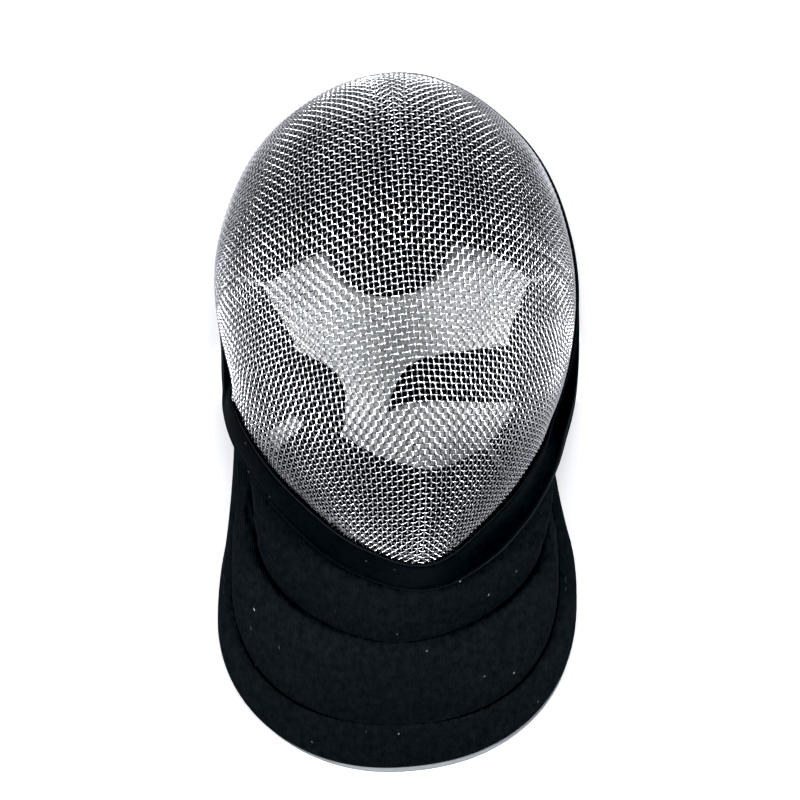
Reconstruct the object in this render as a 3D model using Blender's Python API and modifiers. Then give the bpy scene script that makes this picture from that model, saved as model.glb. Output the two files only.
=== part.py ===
"""A fencing mask laid on its back, face up.

Metres, +Z up, +Y to the crown, -Y to the bib's hem. All sizes below are in millimetres.
The pieces are a woven steel dome, a padded cloth trim round its edge, a folded throat bib with a
grey facing under its hem, four pads inside the dome, a sprung back tongue and two strap halves.
"""

import math

import bmesh
import bpy
from mathutils import Vector

# ------------------------------------------------------------------------ driving dimensions
MM = 0.001  # metres in a millimetre
STAND_AT = (0.8, 19.9, 0.0)  # moves the whole mask so that its box is centred over the origin

CREST = (4.1, 38.1)  # the dome's highest point, seen from above
CREST_Z = 170.0  # and its height over the surface that the mask lies on
MESH_WALL = 2.0  # two 1 mm wires that cross
MESH_TUCK = 8.0  # how far the mesh runs on behind the trim
FIT_GAP = 0.4  # between pieces that touch
PAD_GAP = 1.2  # from the mesh to a pad, both of them faceted

TRIM_WALL = 2.5
TRIM_FOOT = 0.5  # the least height of its path
TRIM_SEAT = 0.3  # the share of the trim's width that lies on the mesh
BIB_WALL = 3.0
BIB_SEAT = -1.0  # how far out of the trim's path the bib's outer face lies where it is sewn in
LINING_WALL = 1.2
LINING_WIDTH = 20.0
PAD_WALL = 8.0
TONGUE_WALL = 5.0
STRAP_WALL = 2.5

HEADINGS = 60  # steps round the dome
BIB_STEPS = 44  # steps along the bib


def rows(columns, *values):
    """A table: one dictionary for each row of values."""
    names = columns.split()
    return [dict(zip(names, row)) for row in values]


# The dome and its trim, looking out from the crest: heading 0 is +X, 90 the crown and 270 the chin.
# half_width is the reach at the dome's widest height, waist_z. fullness is 2 for an ellipse from
# the crest down to the waist, and more for a flatter top and a squarer shoulder. The mesh shows
# down to rim_z, and the trim goes on from there to its lower fold.
DOME = rows(
    "heading half_width waist_z fullness rim_z trim_reach trim_z",
    (0, 95.4, 38, 2.3, 35, 98.5, 3),
    (30, 105.4, 43, 2.2, 34, 104.5, 2),
    (60, 126.4, 59, 2.15, 40, 121.0, 7),
    (90, 141.9, 75, 2.35, 48, 132.0, 18),
    (120, 136.5, 64, 2.05, 42, 129.5, 9),
    (150, 120.5, 48, 1.9, 34, 118.5, 2),
    (180, 106.3, 45, 2.1, 32, 105.5, 3),
    (210, 106.1, 32, 2.5, 57, 114.5, 36),
    (240, 115.9, 22, 3.6, 84, 125.0, 60),
    (258, 128.6, 20, 4.0, 98, 135.6, 72),
    (275, 137.8, 20, 3.95, 103, 141.5, 79),
    (291, 121.5, 21, 4.0, 93, 133.5, 69),
    (300, 112.5, 22, 3.6, 84, 126.5, 61),
    (330, 94.4, 32, 2.8, 55, 107.5, 30),
)

# The keel: a soft crease down the dome, past the crest. From it the flanks fall away by this much
# more than the section above, less near the rim, where they have none of it. side is -1 for the
# left flank and 1 for the right one.
KEEL_X = 2.7  # from the crest, to the right
KEEL_LEAN = -0.08  # to the right for each millimetre to the crown
KEEL_SOFT = 2.0  # the crease's radius
KEEL_FLANKS = rows("side drop run", (-1, 2.5, 80.0), (1, 20.0, 80.0))

# The bib's lines, from above. Each is a round curve about (centre_x, side_y), with its reach to
# the left, the right, down and up. square is 2 for an ellipse and more for a fuller curve, and
# tilt is how far the curve rises for each millimetre to the right.
BIB_LINES = rows(
    "name centre_x side_y left right low rise_left rise_right square_left square_right tilt"
    " low_z side_z",
    ("roll_1", -2.3, -80.6, 76.0, 80.6, 52.4, 60.0, 60.0, 1.8, 1.8, 0.0, 55.0, 32.0),
    ("roll_2", -2.9, -102.0, 92.0, 92.0, 81.8, 150.0, 110.0, 2.35, 2.35, 0.0, 24.0, 14.0),
    ("hem", -1.2, -124.0, 105.8, 105.0, 92.3, 150.0, 106.0, 2.0, 2.3, 0.06, 4.0, 4.0),
)
BIB_END = 135.0  # degrees round from the bottom of the bib to its two upper corners
BIB_HEADING_SPAN = 60.0  # degrees of the dome from the chin to each of those corners
BIB_CLOSING = 112.0  # where the lines start to close up towards the corners
BIB_CORNERS = rows("side x y z", (-1, -99.0, -12.0, 4.0), (1, 87.5, -12.0, 4.0))

# The rolls: place counts the lines (0 the trim's fold, 1 roll_1, 2 roll_2, 3 the hem), and
# puff is how far the cloth stands out from the straight run between two lines.
BIB_ROLLS = rows(
    "name place puff",
    ("mouth", 0.00, 0.0),
    ("roll 1 shoulder", 0.25, 3.5),
    ("roll 1 crown", 0.55, 6.5),
    ("roll 1 lip", 0.88, 5.0),
    ("crease 1", 1.02, 0.5),
    ("roll 2 shoulder", 1.15, 3.5),
    ("roll 2 crown", 1.40, 6.5),
    ("roll 2 belly", 1.70, 7.0),
    ("roll 2 lip", 1.92, 5.0),
    ("crease 2", 2.04, 0.5),
    ("flange top", 2.25, 1.5),
    ("flange", 2.62, 1.5),
    ("hem", 3.00, 0.0),
)
PUFF_WAY = (0.65, 0.76)  # outward and upward shares of a puff

# The pads, each from one heading to another round the inside of the dome. The reaches are those
# of the pad's free inner edge from the crest, at five even steps.
PADS = rows(
    "name start end reaches",
    ("forehead_pad", 21.0, 163.0, (76.0, 53.0, 46.0, 53.0, 82.5)),
    ("left_side_pad", 166.0, 226.0, (86.0, 70.0, 65.0, 89.0, 95.0)),
    ("chin_pad", 229.0, 305.0, (84.0, 72.0, 75.0, 79.5, 80.0)),
    ("right_side_pad", 308.0, 378.0, (80.0, 77.5, 62.0, 61.0, 75.0)),
)

TONGUE_HALF_WIDTH = 37.0
TONGUE_TIP_Y = 59.7
TONGUE_TIP_X = -7.3
TONGUE_SEAT = 0.75  # where its root meets the trim, as a share of the trim's width
TONGUE_CLEAR = 1.2  # from the trim's path to the root's outer edge
TONGUE_LEAN = 0.03  # how far its middle line moves to +X for each millimetre to the crown
# The tongue's back face from the side: a gentle bow that touches the surface once.
TONGUE_BOW = rows(
    "y z",
    (50, 6.5),
    (70, 3.0),
    (92, 0.8),
    (115, 0.4),
    (138, 5.0),
    (156, 15.0),
    (166, 27.0),
)

STRAP_SEAT = 0.8  # where a strap meets the trim, as a share of the trim's width
STRAP_CLEAR = 0.0  # from the trim's path to the strap's end
# Each strap half, from the dome's side to its free end: the two edges and the height over the
# surface. reach is X, low and high are Y.
STRAP_RIGHT = rows(
    "reach low high z",
    (96.0, 0.0, 34.0, 9.0),
    (67.6, -1.2, 32.3, 5.0),
    (42.0, -1.2, 29.5, 3.0),
    (20.0, -1.2, 26.0, 2.0),
    (6.0, -2.0, 21.0, 1.6),
    (-2.0, -4.0, 10.0, 1.4),
    (-6.5, -7.0, -2.0, 1.2),
)
STRAP_LEFT = rows(
    "reach low high z",
    (-98.0, -4.0, 37.0, 9.0),
    (-80.0, -6.0, 33.0, 5.0),
    (-60.0, -10.0, 28.5, 3.0),
    (-46.0, -19.0, 22.0, 2.0),
    (-37.0, -23.5, 15.0, 1.5),
    (-32.5, -14.0, 6.0, 1.2),
)

FINISHES = rows(
    "name colour roughness metallic",
    ("steel_wire", (0.62, 0.63, 0.65), 0.32, 1.0),
    ("black_knit", (0.012, 0.015, 0.018), 0.85, 0.0),
    ("grey_lining", (0.22, 0.24, 0.25), 0.8, 0.0),
    ("black_pad", (0.014, 0.015, 0.018), 0.9, 0.0),
    ("black_webbing", (0.010, 0.011, 0.013), 0.75, 0.0),
)


# ------------------------------------------------------------------------ curves through tables
def smooth_step(points, x):
    """Height at x on a smooth curve through four (x, y) points, between the middle two."""
    (x0, y0), (x1, y1), (x2, y2), (x3, y3) = points
    slope_1 = (y2 - y0) / (x2 - x0)
    slope_2 = (y3 - y1) / (x3 - x1)
    run = x2 - x1
    t = (x - x1) / run
    return (
        (2 * t**3 - 3 * t**2 + 1) * y1
        + (t**3 - 2 * t**2 + t) * run * slope_1
        + (3 * t**2 - 2 * t**3) * y2
        + (t**3 - t**2) * run * slope_2
    )


def round_table(table, column, heading):
    """A column of a table of headings, on a smooth closed curve."""
    heading %= 360
    count = len(table)
    first = max(i for i, row in enumerate(table) if row["heading"] <= heading)
    points = []
    for i in range(first - 1, first + 3):
        turns, place = divmod(i, count)
        row = table[place]
        points.append((row["heading"] + 360 * turns, row[column]))
    return smooth_step(points, heading)


def along(xs, ys, x):
    """Height at x on a smooth open curve through the points, held at its ends."""
    if xs[0] > xs[-1]:
        xs, ys = xs[::-1], ys[::-1]
    x = min(max(x, xs[0]), xs[-1])
    i = min(max(k for k, value in enumerate(xs) if value <= x), len(xs) - 2)
    before = (2 * xs[i] - xs[i + 1], 2 * ys[i] - ys[i + 1]) if i == 0 else (xs[i - 1], ys[i - 1])
    after = (2 * xs[i + 1] - xs[i], 2 * ys[i + 1] - ys[i])
    if i + 2 < len(xs):
        after = (xs[i + 2], ys[i + 2])
    return smooth_step((before, (xs[i], ys[i]), (xs[i + 1], ys[i + 1]), after), x)


# ------------------------------------------------------------------------ the dome and the trim
def spot(heading, reach, z):
    """The point at a heading, a reach from the crest and a height."""
    turn = math.radians(heading)
    return Vector((CREST[0] + reach * math.cos(turn), CREST[1] + reach * math.sin(turn), z))


def rim_level(heading):
    """The rim's height over the waist, as a share of the crest's."""
    waist_z = round_table(DOME, "waist_z", heading)
    return (round_table(DOME, "rim_z", heading) - waist_z) / (CREST_Z - waist_z)


def rim_share(heading):
    """The rim's reach, as a share of the dome's half width."""
    return (1 - rim_level(heading) ** 2) ** (1 / round_table(DOME, "fullness", heading))


def keel_drop(heading, reach, share):
    """How far a flank lies below the plain dome."""
    turn = math.radians(heading)
    off = reach * math.cos(turn) - KEEL_X - KEEL_LEAN * reach * math.sin(turn)
    flank = KEEL_FLANKS[0] if off < 0 else KEEL_FLANKS[1]
    off = math.hypot(off, KEEL_SOFT) - KEEL_SOFT
    calm = (1 - min(share / rim_share(heading), 1) ** 8) ** 2
    return flank["drop"] * (1 - math.exp(-off / flank["run"])) * calm


def dome_section(heading, polar):
    """Reach and height on the dome, polar radians down from the crest."""
    waist_z = round_table(DOME, "waist_z", heading)
    share = math.sin(polar)
    reach = round_table(DOME, "half_width", heading) * share
    level = math.sqrt(max(1 - share ** round_table(DOME, "fullness", heading), 0))
    z = waist_z + (CREST_Z - waist_z) * math.copysign(level, math.cos(polar))
    return reach, z - keel_drop(heading, reach, share)


def dome_spot(heading, polar, out=0.0):
    """A point on the dome, or out from it along its normal."""
    point = spot(heading, *dome_section(heading, polar))
    if out == 0.0:
        return point
    if polar < 0.01:
        return point + Vector((0, 0, out))
    step = 0.01
    down = spot(heading, *dome_section(heading, polar + step)) - point
    round_way = spot(heading + 1, *dome_section(heading + 1, polar)) - point
    return point + down.cross(round_way).normalized() * out


def polar_at_reach(heading, reach):
    """How far down from the crest the dome has a reach."""
    return math.asin(reach / round_table(DOME, "half_width", heading))


def rim_polar(heading):
    """Where the mesh meets the trim's upper edge."""
    above_waist = math.asin(rim_share(heading))
    return above_waist if rim_level(heading) >= 0 else math.pi - above_waist


def mesh_edge_polar(heading):
    """Where the mesh ends, behind the trim."""
    rim = rim_polar(heading)
    step = 0.01
    reach, z = dome_section(heading, rim)
    further = dome_section(heading, rim + step)
    stride = math.hypot(further[0] - reach, further[1] - z) / step
    return rim + MESH_TUCK / stride


def trim_section(heading, share):
    """Reach and height of the trim's path, from the rim (share 0) to its lower fold (1)."""
    rim, edge = rim_polar(heading), mesh_edge_polar(heading)
    if share <= TRIM_SEAT:
        return dome_section(heading, rim + (edge - rim) * share / TRIM_SEAT)
    start = Vector(dome_section(heading, edge))
    way = (start - Vector(dome_section(heading, edge - 0.01))).normalized()
    end = Vector((round_table(DOME, "trim_reach", heading), round_table(DOME, "trim_z", heading)))
    bend = start + way * (end - start).length * 0.45
    t = (share - TRIM_SEAT) / (1 - TRIM_SEAT)
    return tuple(start * (1 - t) ** 2 + bend * 2 * t * (1 - t) + end * t**2)


def trim_spot(heading, share, out):
    """A point out from the trim's path."""
    step = 0.01
    reach, z = trim_section(heading, share)
    before = trim_section(heading, max(share - step, 0))
    after = trim_section(heading, min(share + step, 1))
    way = (Vector(after) - Vector(before)).normalized()
    return spot(heading, reach - way.y * out, max(z + way.x * out, TRIM_FOOT))


# ------------------------------------------------------------------------ the bib
def bib_line(line, angle):
    """A point of one of the bib's lines, angle degrees round from its bottom."""
    turn = math.radians(angle)
    side = line["left"] if angle < 0 else line["right"]
    rise = line["rise_left"] if angle < 0 else line["rise_right"]
    level = line["low"] if abs(angle) <= 90 else rise
    square = line["square_left"] if angle < 0 else line["square_right"]
    across = abs(math.sin(turn) / side) ** square
    down = abs(math.cos(turn) / level) ** square
    reach = (across + down) ** (-1 / square)
    x = reach * math.sin(turn)
    y = line["side_y"] - reach * math.cos(turn) + line["tilt"] * x
    low_share = max(math.cos(turn), 0) ** 2
    z = line["side_z"] + (line["low_z"] - line["side_z"]) * low_share
    return Vector((line["centre_x"] + x, y, z))


def bib_node(number, angle):
    """Line 0 is the trim's fold, 1 to 3 the bib's own; all of them close up at the corners."""
    heading = 270 + angle * BIB_HEADING_SPAN / BIB_END
    if number == 0:
        return trim_spot(heading, 1.0, BIB_SEAT)
    free = bib_line(BIB_LINES[number - 1], angle)
    corner = BIB_CORNERS[0] if angle < 0 else BIB_CORNERS[1]
    end_heading = 270 + math.copysign(BIB_HEADING_SPAN, angle)
    top = trim_spot(end_heading, 1.0, BIB_SEAT)
    bottom = Vector((corner["x"], corner["y"], corner["z"]))
    end = top.lerp(bottom, number / 3)
    t = min(max((abs(angle) - BIB_CLOSING) / (BIB_END - BIB_CLOSING), 0), 1)
    return free.lerp(end, t * t * (3 - 2 * t))


def bib_spot(place, puff, angle):
    """A point of the bib between two of its lines."""
    number = min(int(place), 2)
    point = bib_node(number, angle).lerp(bib_node(number + 1, angle), place - number)
    turn = math.radians(max(-100, min(100, angle)))
    out, up = PUFF_WAY
    calm = min(1, max(0, (BIB_END - abs(angle)) / 30))
    return point + Vector((math.sin(turn) * out, -math.cos(turn) * out, up)) * puff * calm


# ------------------------------------------------------------------------ meshes from sheets
def new_object(name, mesh_data, finish, root, parts):
    """An object in the mask's collection, under the empty, with its material."""
    obj = bpy.data.objects.new(name, mesh_data)
    parts.objects.link(obj)
    obj.parent = root
    obj.data.materials.append(finish)
    return obj


def sheet(name, across, down, place, closed=False, flip=False):
    """A grid of across by down faces, with each corner put where place(u, v) says."""
    bm = bmesh.new()
    bmesh.ops.create_grid(bm, x_segments=across, y_segments=down, size=1.0)
    for vert in bm.verts:
        u, v = (vert.co.x + 1) / 2, (vert.co.y + 1) / 2
        vert.co = place(u, v) * MM
    if closed:
        bmesh.ops.remove_doubles(bm, verts=bm.verts, dist=0.02 * MM)
    if flip:
        bmesh.ops.reverse_faces(bm, faces=bm.faces)
    data = bpy.data.meshes.new(name)
    bm.to_mesh(data)
    bm.free()
    return data


def thicken(obj, wall, side):
    """Solidify: side 1 grows along the faces' normals, -1 against them."""
    shell = obj.modifiers.new("wall", "SOLIDIFY")
    shell.thickness = wall * MM
    shell.offset = side
    shell.use_even_offset = True
    shell.use_quality_normals = True
    obj.data.shade_smooth()


def make_wire_mesh(finish, root, parts):
    """The upper half of a sphere, each corner moved to the dome: same heading, its own polar."""
    bm = bmesh.new()
    bmesh.ops.create_uvsphere(bm, u_segments=HEADINGS, v_segments=26, radius=1.0)
    below = [vert for vert in bm.verts if vert.co.z < -0.01]
    bmesh.ops.delete(bm, geom=below, context="VERTS")
    for vert in bm.verts:
        heading = math.degrees(math.atan2(vert.co.y, vert.co.x))
        share = math.acos(min(1.0, vert.co.z)) / (math.pi / 2)
        vert.co = dome_spot(heading, share * mesh_edge_polar(heading)) * MM
    data = bpy.data.meshes.new("wire_mesh")
    bm.to_mesh(data)
    bm.free()
    obj = new_object("wire_mesh", data, finish, root, parts)
    thicken(obj, MESH_WALL, -1)


def make_trim(finish, root, parts):
    """A closed band round the dome."""

    def place(u, v):
        return trim_spot(360 * u, v, FIT_GAP)

    data = sheet("trim", HEADINGS, 6, place, closed=True, flip=True)
    thicken(new_object("trim", data, finish, root, parts), TRIM_WALL, 1)


def make_bib(finish, root, parts):
    """The bib's rolls, from inside the trim's lower fold to the hem."""
    tucked = 0.8  # the bib's sewn edge, as a share of the trim's width

    def place(u, v):
        angle = BIB_END * (2 * u - 1)
        number = round(v * len(BIB_ROLLS))
        if number == 0:
            return trim_spot(270 + angle * BIB_HEADING_SPAN / BIB_END, tucked, BIB_SEAT)
        row = BIB_ROLLS[number - 1]
        return bib_spot(row["place"], row["puff"], angle)

    data = sheet("bib", BIB_STEPS, len(BIB_ROLLS), place, flip=True)
    thicken(new_object("bib", data, finish, root, parts), BIB_WALL, -1)


def make_bib_lining(finish, root, parts):
    """A flat facing on the surface, under the hem, which stands out a little at the bottom."""

    def place(u, v):
        angle = BIB_END * (2 * u - 1)
        hem = bib_node(3, angle)
        turn = math.radians(max(-100, min(100, angle)))
        stand_out = max(5.5 * math.cos(turn - math.radians(10)) - 2.3, -1.5)
        reach = stand_out - LINING_WIDTH * (1 - v)
        return Vector((hem.x + math.sin(turn) * reach, hem.y - math.cos(turn) * reach, LINING_WALL))

    data = sheet("bib_lining", BIB_STEPS, 2, place, flip=True)
    thicken(new_object("bib_lining", data, finish, root, parts), LINING_WALL, -1)


def make_pad(row, finish, root, parts):
    """A pad against the inside of the mesh, from its free inner edge out to the rim."""
    length = row["end"] - row["start"]
    quarters = [row["start"] + length * i / 4 for i in range(5)]

    def place(u, v):
        heading = row["start"] + length * u
        inner = polar_at_reach(heading, along(quarters, list(row["reaches"]), heading))
        outer = rim_polar(heading)
        return dome_spot(heading, inner + (outer - inner) * v, -MESH_WALL - PAD_GAP)

    steps = max(6, round(length / 7))
    data = sheet(row["name"], steps, 6, place, flip=True)
    thicken(new_object(row["name"], data, finish, root, parts), PAD_WALL, -1)


def inside_trim_y(x):
    """The trim's inner face at the crown, straight up the mask from x."""
    heading = 90.0
    for _ in range(8):
        reach, z = trim_section(heading, TONGUE_SEAT)
        heading = 90 - math.degrees(math.asin((x - CREST[0]) / reach))
    return spot(heading, reach, z).y


def make_tongue(finish, root, parts):
    """A bowed plate with a round end, its root against the inside of the trim at the crown."""
    ys = [row["y"] for row in TONGUE_BOW]
    zs = [row["z"] for row in TONGUE_BOW]
    round_y = TONGUE_TIP_Y + TONGUE_HALF_WIDTH
    end_share = 0.4  # of the rows, for the round end
    last = math.radians(78)  # how far round the end goes

    def place(u, v):
        if v < end_share:
            turn = last * (1 - v / end_share)
            y = round_y - TONGUE_HALF_WIDTH * math.sin(turn)
            x = TONGUE_TIP_X + TONGUE_HALF_WIDTH * math.cos(turn) * (2 * u - 1)
        else:
            x = TONGUE_TIP_X + TONGUE_HALF_WIDTH * (2 * u - 1)
            root_y = inside_trim_y(x) - TONGUE_CLEAR
            y = round_y + (root_y - round_y) * (v - end_share) / (1 - end_share)
        x += TONGUE_LEAN * (y - TONGUE_TIP_Y)
        return Vector((x, y, along(ys, zs, y)))

    data = sheet("back_tongue", 8, 15, place)
    thicken(new_object("back_tongue", data, finish, root, parts), TONGUE_WALL, 1)


def inside_trim_x(side, y):
    """The trim's inner face at one side of the mask, straight across from y."""
    reach = 100.0
    for _ in range(8):
        rise = math.degrees(math.asin((y - CREST[1]) / reach))
        heading = rise if side > 0 else 180 - rise
        reach, z = trim_section(heading, STRAP_SEAT)
    return spot(heading, reach, z).x


def make_strap(name, table, finish, root, parts):
    """A flat strap that droops from the inside of the trim to the surface."""
    reaches = [row["reach"] for row in table]
    side = math.copysign(1, reaches[0])
    first_run = reaches[1] - reaches[0]

    def column(key, x):
        return along(reaches, [row[key] for row in table], x)

    def place(u, v):
        x = reaches[0] + (reaches[-1] - reaches[0]) * math.sin(u * math.pi / 2)
        low, high = column("low", x), column("high", x)
        y = low + (high - low) * v
        z = column("z", x)
        sewn = max(0, 1 - (x - reaches[0]) / first_run)
        x += sewn * (inside_trim_x(side, y) - side * STRAP_CLEAR - reaches[0])
        return Vector((x, y, z))

    data = sheet(name, 12, 4, place, flip=reaches[0] > reaches[-1])
    thicken(new_object(name, data, finish, root, parts), STRAP_WALL, 1)


def make_finishes():
    """One Principled material for each finish."""
    made = {}
    for row in FINISHES:
        finish = bpy.data.materials.new(row["name"])
        finish.use_nodes = True
        shader = finish.node_tree.nodes["Principled BSDF"]
        shader.inputs["Base Color"].default_value = (*row["colour"], 1.0)
        shader.inputs["Roughness"].default_value = row["roughness"]
        shader.inputs["Metallic"].default_value = row["metallic"]
        made[row["name"]] = finish
    return made


def build():
    """Makes the whole mask in one collection, under one empty."""
    for obj in list(bpy.data.objects):
        bpy.data.objects.remove(obj)
    parts = bpy.data.collections.new("fencing_mask")
    bpy.context.scene.collection.children.link(parts)
    root = bpy.data.objects.new("mask", None)
    root.location = Vector(STAND_AT) * MM
    parts.objects.link(root)

    finishes = make_finishes()
    make_wire_mesh(finishes["steel_wire"], root, parts)
    make_trim(finishes["black_knit"], root, parts)
    make_bib(finishes["black_knit"], root, parts)
    make_bib_lining(finishes["grey_lining"], root, parts)
    for row in PADS:
        make_pad(row, finishes["black_pad"], root, parts)
    make_tongue(finishes["black_knit"], root, parts)
    make_strap("strap_right", STRAP_RIGHT, finishes["black_webbing"], root, parts)
    make_strap("strap_left", STRAP_LEFT, finishes["black_webbing"], root, parts)


build()
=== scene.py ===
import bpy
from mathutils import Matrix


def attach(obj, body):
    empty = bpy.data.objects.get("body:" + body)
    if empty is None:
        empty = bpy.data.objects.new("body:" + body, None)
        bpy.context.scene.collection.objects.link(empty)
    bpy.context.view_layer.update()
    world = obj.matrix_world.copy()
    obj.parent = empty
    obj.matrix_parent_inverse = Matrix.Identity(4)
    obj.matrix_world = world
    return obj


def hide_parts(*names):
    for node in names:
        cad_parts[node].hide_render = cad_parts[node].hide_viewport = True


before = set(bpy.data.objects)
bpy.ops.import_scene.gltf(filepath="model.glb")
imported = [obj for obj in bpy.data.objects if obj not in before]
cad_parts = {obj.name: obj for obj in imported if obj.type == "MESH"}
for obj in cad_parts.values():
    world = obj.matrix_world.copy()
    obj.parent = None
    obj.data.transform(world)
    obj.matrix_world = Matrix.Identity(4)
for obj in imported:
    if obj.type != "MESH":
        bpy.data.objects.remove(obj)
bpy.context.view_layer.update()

import math

import bpy
import numpy as np

# ================================================================== the studio
# The mask lies on a white paper floor, in one of the plain studios that goods are shot in. The
# camera hangs straight over the face. Softboxes stand to its left and right, a smaller one lights
# the crown, and a lamp hangs overhead.

CAMERA_AT = (0.0008, 0.0199, 1.220)
FIELD = 0.38704  # metres that the picture spans, one metre from the lens
PRINT_GAMMA = 0.75  # a hard print, as shop pictures have: deep blacks and a burnt-out floor
PRINT_BLACK = 0.03
ROOM_WHITE = (0.97, 0.98, 1.0, 1)
WALL_LIGHT = 0.2
CEILING_LIGHT = 1.2
CEILING_EDGE = (0.60, 0.90)  # how far up a direction points where the walls meet the ceiling
BACKDROP_LIGHT = 1.0
BACKDROP_EDGE = (0.03, 0.12)  # and where the pale backdrop, low down, meets the walls
FLOOR_SIZE = 4.0
FLOOR_DROP = 0.0003
# The paper's tone is painted light: white in an oval under the mask, which the mask shades, a
# painted shade of grey round that, where the lamps light it most, and white again far off.
PAPER_WHITE = (0.84, 0.84, 0.85, 1)
PAPER_SHADE_GREY = (0.36, 0.36, 0.37, 1)
PAPER_MIDDLE = (0.0, 0.053, 0.0)  # of the white oval under the mask
PAPER_REACH = (0.096, 0.128, 1.0)  # half its width and half its length
PAPER_EDGE = (0.95, 1.1)  # where it turns grey, as shares of its reach
PAPER_FAR = (4.0, 7.0)  # and where the grey turns white again
LAMP_AWAY = 1.8  # from the middle of the floor
# Each lamp's name, its turn round from +Y, its tilt down from overhead, its size and its watts.
LAMPS = (
    ("softbox_left", -90, 34, (0.35, 0.5), 60),
    ("softbox_right", 90, 34, (0.35, 0.5), 58),
    ("softbox_crown", 0, 42, (0.5, 0.2), 8),
    ("lamp_overhead", 0, 12, (0.6, 0.3), 16),
)

scene = bpy.context.scene
scene.view_settings.view_transform = "Standard"
scene.view_settings.gamma = PRINT_GAMMA
scene.view_settings.use_curve_mapping = True
scene.view_settings.curve_mapping.black_level = (PRINT_BLACK, PRINT_BLACK, PRINT_BLACK)
scene.view_settings.curve_mapping.update()

camera = bpy.data.objects.new("camera", bpy.data.cameras.new("camera"))
scene.collection.objects.link(camera)
camera.location = CAMERA_AT
camera.data.lens = camera.data.sensor_width / FIELD
scene.camera = camera


def feed(tree, socket, value):
    """Gives a socket a value, or the output of another node."""
    if isinstance(value, bpy.types.NodeSocket):
        tree.links.new(value, socket)
    else:
        socket.default_value = value


def add_node(tree, kind, settings=None, **inputs):
    """A new node, with its settings, and its inputs by name. An input's _ stands for a space."""
    node = tree.nodes.new(kind)
    for key, value in (settings or {}).items():
        setattr(node, key, value)
    for key, value in inputs.items():
        feed(tree, node.inputs[key.replace("_", " ")], value)
    return node


def work_out(tree, kind, operation, *values):
    """A Math or Vector Math node over its values, in their order."""
    node = add_node(tree, kind, {"operation": operation})
    for socket, value in zip(node.inputs, values):
        feed(tree, socket, value)
    return node


def remapped(tree, value, edges, ends=(0.0, 1.0), settings=None):
    """A value that goes from one end to the other between two edges."""
    node = add_node(tree, "ShaderNodeMapRange", settings, Value=value)
    for key, number in zip(("From Min", "From Max", "To Min", "To Max"), (*edges, *ends)):
        node.inputs[key].default_value = number
    return node.outputs["Result"]


def mixed(tree, factor, under, over):
    """Two colours mixed by a factor."""
    node = add_node(tree, "ShaderNodeMix", {"data_type": "RGBA"}, Factor=factor, A=under, B=over)
    return node.outputs["Result"]


def new_finish(name, **inputs):
    """A material, its shader with some inputs set, and its node tree."""
    material = bpy.data.materials.new(name)
    material.use_nodes = True
    shader = material.node_tree.nodes["Principled BSDF"]
    for key, value in inputs.items():
        shader.inputs[key.replace("_", " ")].default_value = value
    return material, shader, material.node_tree


def emboss(tree, shader, height, strength, depth):
    """Bumps on a shader, over those that it has already."""
    bump = add_node(tree, "ShaderNodeBump", Height=height, Strength=strength, Distance=depth)
    normal = shader.inputs["Normal"]
    if normal.is_linked:
        feed(tree, bump.inputs["Normal"], normal.links[0].from_socket)
    feed(tree, normal, bump.outputs["Normal"])


def paper():
    """Smooth matt paper with a faint tooth, its tone painted light: white under the mask, which the
    mask shades, round it a painted shade of light grey, where the lamps light it most, that the
    hard print burns out, and white again far off, past the lamps."""
    material, shader, tree = new_finish("white_paper", Roughness=0.85)
    place = add_node(tree, "ShaderNodeTexCoord").outputs["Object"]
    about = work_out(tree, "ShaderNodeVectorMath", "SUBTRACT", place, PAPER_MIDDLE)
    about = work_out(tree, "ShaderNodeVectorMath", "DIVIDE", about.outputs["Vector"], PAPER_REACH)
    reach = work_out(tree, "ShaderNodeVectorMath", "LENGTH", about.outputs["Vector"])
    outside = remapped(tree, reach.outputs["Value"], PAPER_EDGE)
    near = remapped(tree, reach.outputs["Value"], PAPER_FAR, (1.0, 0.0))
    # Painted shade: the grey ring round the mask, where the lamps light the paper most.
    painted_shade_ring = work_out(tree, "ShaderNodeMath", "MULTIPLY", outside, near).outputs[0]
    feed(tree, shader.inputs["Base Color"], mixed(tree, painted_shade_ring, PAPER_WHITE, PAPER_SHADE_GREY))
    tooth = add_node(tree, "ShaderNodeTexNoise", Vector=place, Scale=900.0, Detail=3.0)
    emboss(tree, shader, tooth.outputs["Fac"], strength=0.08, depth=0.0002)
    return material


bpy.ops.mesh.primitive_plane_add(size=FLOOR_SIZE, location=(0, 0, -FLOOR_DROP))
floor = bpy.context.object
floor.name = "paper_floor"
floor.data.materials.append(paper())


def hang_lamp(name, turn, tilt, size, watts):
    """A rectangular area light that points at the middle of the floor."""
    light = bpy.data.objects.new(name, bpy.data.lights.new(name, "AREA"))
    scene.collection.objects.link(light)
    light.data.shape = "RECTANGLE"
    light.data.size, light.data.size_y = size
    light.data.energy = watts
    away, round_way = math.radians(tilt), math.radians(turn)
    light.location = (
        LAMP_AWAY * math.sin(away) * math.sin(round_way),
        LAMP_AWAY * math.sin(away) * math.cos(round_way),
        LAMP_AWAY * math.cos(away),
    )
    light.rotation_euler = (away, 0, -round_way + math.pi)


for lamp in LAMPS:
    hang_lamp(*lamp)


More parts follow.
